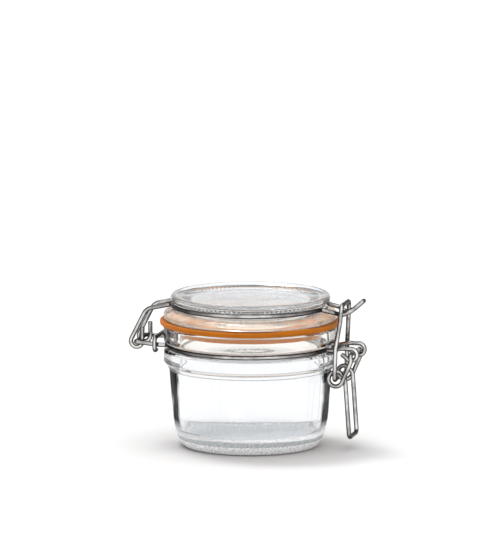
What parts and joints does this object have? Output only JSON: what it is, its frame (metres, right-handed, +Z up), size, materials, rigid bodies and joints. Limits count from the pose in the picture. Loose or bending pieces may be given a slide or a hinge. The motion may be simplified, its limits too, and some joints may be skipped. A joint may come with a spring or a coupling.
{
  "type": "bail clamp jar",
  "caption": "Small round glass storage jar with a glass lid, a rubber seal and a hinged wire bail clamp with a locking lever.",
  "frame": {"origin": "on the jar's axis, at the bottom of its foot ring", "axes": "+Z up along the jar's axis, +X towards the locking lever, hinge at -X"},
  "size_m": [0.1057, 0.08, 0.0676],
  "materials": {
    "jar_glass": "clear pressed glass",
    "lid_glass": "clear pressed glass",
    "seal_rubber": "smooth moulded natural rubber, orange",
    "clamp_wire": "bright drawn wire"
  },
  "bodies": {
    "jar": {"jar_body": "jar_glass", "neck_wire_hinge_half": "clamp_wire", "neck_wire_clip_half": "clamp_wire"},
    "lid_bail": {"lid_wire": "clamp_wire"},
    "lid": {"glass_lid": "lid_glass", "seal_ring": "seal_rubber"},
    "lever": {"locking_lever": "clamp_wire"},
    "link": {"tension_link": "clamp_wire"}
  },
  "joints": [
    {"name": "lid_hinge", "type": "hinge", "parent": "jar", "child": "lid_bail", "pos_m": [-0.0499, 0, 0.0458], "axis": [0, -1, 0], "range_deg": [0, 180]},
    {"name": "lid_turn", "type": "hinge", "parent": "lid_bail", "child": "lid", "pos_m": [0, 0, 0.06295], "axis": [0, 0, 1], "continuous": true},
    {"name": "lever_pivot", "type": "hinge", "parent": "jar", "child": "lever", "pos_m": [0.0473, 0, 0.0433], "axis": [0, -1, 0], "range_deg": [0, 130]},
    {"name": "link_pivot", "type": "hinge", "parent": "lever", "child": "link", "pos_m": [0.0407, 0, 0.0324], "axis": [0, -1, 0], "range_deg": [-80.6, 0]}
  ],
  "couplings": [
    {"joint": "link_pivot", "follows": "lever_pivot", "ratio": -0.62}
  ]
}
